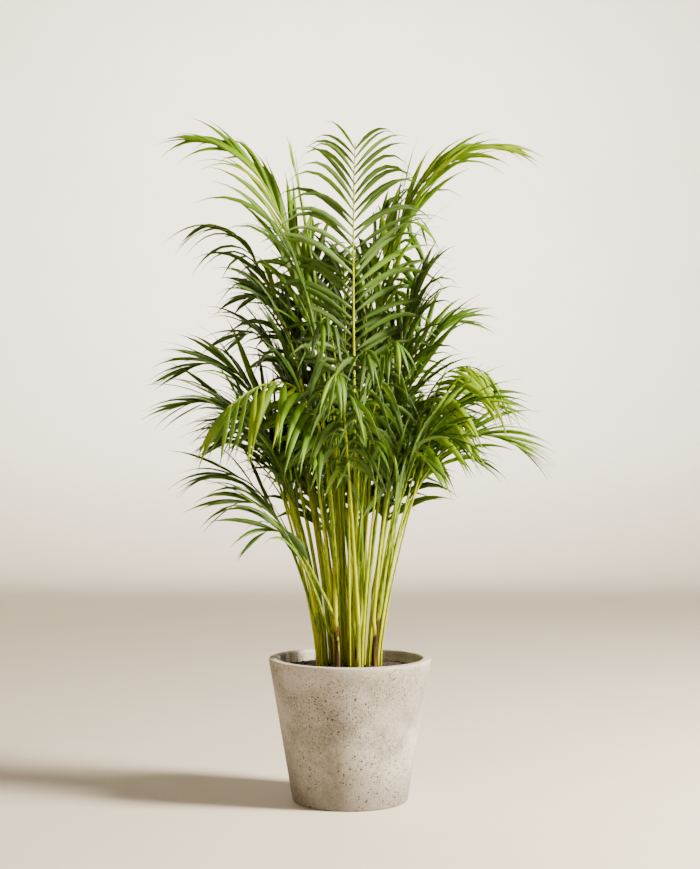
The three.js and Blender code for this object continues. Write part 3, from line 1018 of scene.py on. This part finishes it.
def leaflet_template():
    """A flat blade, one unit long and two wide, with a thickness, to be bent into each leaflet."""
    blade = bmesh.new()
    bmesh.ops.create_grid(blade, x_segments=LEAFLET_STEPS, y_segments=2, size=1)
    bmesh.ops.transform(
        blade, matrix=Matrix.Translation((0.5, 0, 0)) @ Matrix.Diagonal((0.5, 1, 1, 1)), verts=blade.verts
    )
    bmesh.ops.solidify(blade, geom=blade.faces[:], thickness=1)
    bmesh.ops.recalc_face_normals(blade, faces=blade.faces)
    layers = {name: blade.verts.layers.float.new(name) for name in ("along", "across", "under", "tone")}
    top = max(corner.co.z for corner in blade.verts)
    for corner in blade.verts:
        corner[layers["along"]] = corner.co.x
        corner[layers["across"]] = corner.co.y
        corner[layers["under"]] = 0 if corner.co.z > top - 0.5 else 1
    for face in blade.faces:
        face.smooth = abs(face.normal.z) > 0.5
        face.material_index = 1
    mesh = bpy.data.meshes.new("leaflet_template")
    blade.to_mesh(mesh)
    blade.free()
    return mesh


template = leaflet_template()
TEMPLATE_POINTS = [
    (corner.co.x, corner.co.y, template.attributes["under"].data[corner.index].value)
    for corner in template.vertices
]
print("leaflet faces:", len(template.polygons))


# %% [markdown]
# ## Bending a leaflet
#
# A growing leaflet leaves its midrib in one direction and bends down under its own weight. Its two halves fold up
# along the middle vein, and it twists a little towards its tip. So its middle line is walked in short steps, each
# pointing a little further down, and each corner of the flat strip is carried to its place beside that line.

# %% Leaflet shape
BLADE_THICK = 0.45
BEND_STEPS = 14
LONGEST_AT = 0.34


def half_width(along, width):
    """Narrow at its foot, widest before its half, and drawn out to a fine point."""
    rise = 0.34 + 0.66 * ease(along / 0.32)
    fall = 1 - ease((along - 0.4) / 0.6) ** 1.15 * 0.985
    return width / 2 * rise * fall


def leaflet_share(blade, shortening):
    """A leaflet's size at a share of the blade, where 1 is the longest."""
    if blade < LONGEST_AT:
        return 1 - 0.3 * ((LONGEST_AT - blade) / LONGEST_AT) ** 2
    return 1 - shortening * ((blade - LONGEST_AT) / (1 - LONGEST_AT)) ** 1.5


def grow_leaflet(into, root, first, flat, length, width, droop, knee, fold, twist, tone):
    """Adds one leaflet that leaves its midrib along first, its upper face towards flat, and bends down."""
    start = len(into.verts)
    into.from_mesh(template)
    into.verts.ensure_lookup_table()
    tone_layer = into.verts.layers.float["tone"]
    spine = [root]
    heads = [first]
    for step in range(BEND_STEPS):
        share = (step + 0.5) / BEND_STEPS
        head = (first - UP * droop * 1.5 * share**knee).normalized()
        spine.append(spine[-1] + head * length / BEND_STEPS)
        heads.append(head)
    side_rest = first.cross(flat).normalized()
    frames = []
    for step, head in enumerate(heads):
        bend = first.rotation_difference(head)
        turn = Quaternion(head, twist * (step / BEND_STEPS))
        frames.append((turn @ (bend @ side_rest), turn @ (bend @ flat)))
    for offset, (along, across, under) in enumerate(TEMPLATE_POINTS):
        at = along * BEND_STEPS
        low = min(int(at), BEND_STEPS - 1)
        point = mix(spine[low], spine[low + 1], at - low)
        side, face = frames[min(int(at + 0.5), BEND_STEPS)]
        half = half_width(along, width)
        roof = -abs(across) * half * math.tan(fold) * (1 - 0.5 * along)
        thick = BLADE_THICK * (0.5 - under)
        corner = into.verts[start + offset]
        corner.co = (point + side * across * half + face * (roof + thick)) * MM
        corner[tone_layer] = tone


# %% [markdown]
# ## Fronds
#
# A frond is its rod and its pairs of leaflets. They are long near the blade's foot and short at its tip, lie closer
# to the midrib towards the tip, and are never quite alike, so each measure is shaken a little from the frond's own
# seed. Old fronds are darker and new ones are yellower. The tones also hold painted light and shade: some fronds on
# the window's side are painted lighter, the screen fronds at the back darker, a few leaflets are painted lighter
# where they catch the sun, and those inside the clump are painted darker as shade.

# %% Frond tones and numbers of pairs
# Tones by habit. The screen fronds at the back are painted dark, partly as shade inside the clump.
HABIT_TONE = {
    "fan": 0.24,
    "crown": 0.2,
    "arch": 0.19,
    "hook": 0.18,
    "screen": 0.1,
    "spray": 0.6,
    "veil": 0.22,
    "skirt": 0.27,
    "spear": 0.8,
}
# Tones of single fronds: the young top ones are lighter, and those on the window's side (a, b, i) are painted
# lighter as painted light.
TONES = {
    ("l", "top"): 0.6,
    ("j", "top"): 0.66,
    ("m", "top"): 0.3,
    ("n", "top"): 0.85,
    ("a", "top"): 0.78,
    ("g", "top"): 0.52,
    ("h", "top"): 0.3,
    ("a", "middle"): 0.5,
    ("i", "top"): 0.36,
    ("b", "top"): 0.34,
}
SPARSE = {
    ("h", "low"): 3,
    ("i", "low"): 4,
    ("g", "low"): 5,
    ("m", "low"): 12,
    ("m", "middle"): 12,
    ("h", "middle"): 12,
}
BLADE_END = 0.985
SUNLIT, SUNLIT_SHARE = 0.35, 0.12
SHADED, SHADE_RADIUS = 0.14, 170
BROAD_LEAFLET_ON = ("g", "middle")


# %% Frond
def leaflet_way(rng, arch, habit, blade, share, sign):
    """The direction in which a leaflet leaves its midrib, and the one that its upper face looks in."""
    along, side, face = arch.frame(share)
    splay = math.radians(mix(*habit["splay"], blade**1.15) + rng.gauss(0, 5))
    lift = math.radians(habit["lift"] * (1 - 0.6 * blade) + rng.gauss(0, 9))
    across = side * sign * math.cos(lift) + face * math.sin(lift)
    if habit is HABITS["crown"] and across.z > 0.2:
        splay *= 0.55
    first = (along * math.cos(splay) + across * math.sin(splay)).normalized()
    flat = (face - first * face.dot(first)).normalized()
    return first, Quaternion(first, rng.gauss(0, 0.28) - sign * 0.18) @ flat


def broad_leaflet(body, arch):
    """One short wide leaflet, as old fronds sometimes keep at their foot."""
    up_left = Vector((-0.5, -0.15, 0.85)).normalized()
    flat = Vector((-0.3, -0.9, -0.3))
    flat = (flat - up_left * flat.dot(up_left)).normalized()
    grow_leaflet(body, arch.point(0.42), up_left, flat, 112, 31, 0.4, 1.3, 0.1, 0.2, 0.12)


def frond(index, row):
    cane, spot, degrees, reach, height, lead, rise, habit_name, roll = row
    habit = HABITS[habit_name]
    rng = random.Random(100 + index)
    arch = Arch(cane, spot, degrees, reach, height, lead, rise, roll)
    clasp = cane_radius(LEAVES[spot][0]) * (1.0 if spot == "top" else 0.8)

    def girth(share):
        slim = mix(PETIOLE, MIDRIB_TIP, share**1.1)
        return mix(clasp, slim, ease(share / 0.2))

    body = rod(7, 44, arch.point, girth, lambda share: arch.frame(share)[1:], rng.random())
    for name in ("across", "under"):
        body.verts.layers.float.new(name)
    base_tone = TONES.get((cane, spot), HABIT_TONE[habit_name] + rng.uniform(-0.14, 0.14))
    pairs = SPARSE.get((cane, spot), habit["pairs"])
    for number in range(pairs):
        for sign in (-1, 1):
            blade = number / (pairs - 1)
            stagger = (sign * 0.2 + rng.uniform(-0.12, 0.12)) / pairs
            share = mix(habit["bare"], BLADE_END, min(max(blade + stagger, 0), 1))
            first, flat = leaflet_way(rng, arch, habit, blade, share, sign)
            size = leaflet_share(blade, habit["short"])
            root = arch.point(share)
            sunlit = SUNLIT if rng.random() < SUNLIT_SHARE else 0
            shaded = SHADED * ease(1 - math.hypot(root.x, root.y) / SHADE_RADIUS)
            grow_leaflet(
                body,
                root,
                first,
                flat,
                length=habit["leaflet"] * size * rng.uniform(0.9, 1.06),
                width=habit["width"] * math.sqrt(size) * rng.uniform(0.86, 1.08),
                droop=habit["droop"] * rng.uniform(0.6, 1.5),
                knee=habit["knee"],
                fold=math.radians(rng.uniform(12, 26)),
                twist=rng.gauss(0, 0.5),
                tone=base_tone + rng.gauss(0, 0.06) + sunlit - shaded,
            )
    if (cane, spot) == BROAD_LEAFLET_ON:
        broad_leaflet(body, arch)
    name = f"frond_{cane}_{spot}"
    return place(body, f"{name}_blade", "root", [name], "frond", petiole_skin, leaf_skin)


leaf_faces = 0
for index, row in enumerate(FRONDS):
    leaf_faces += len(frond(index, row).data.polygons)
print("frond faces:", leaf_faces)
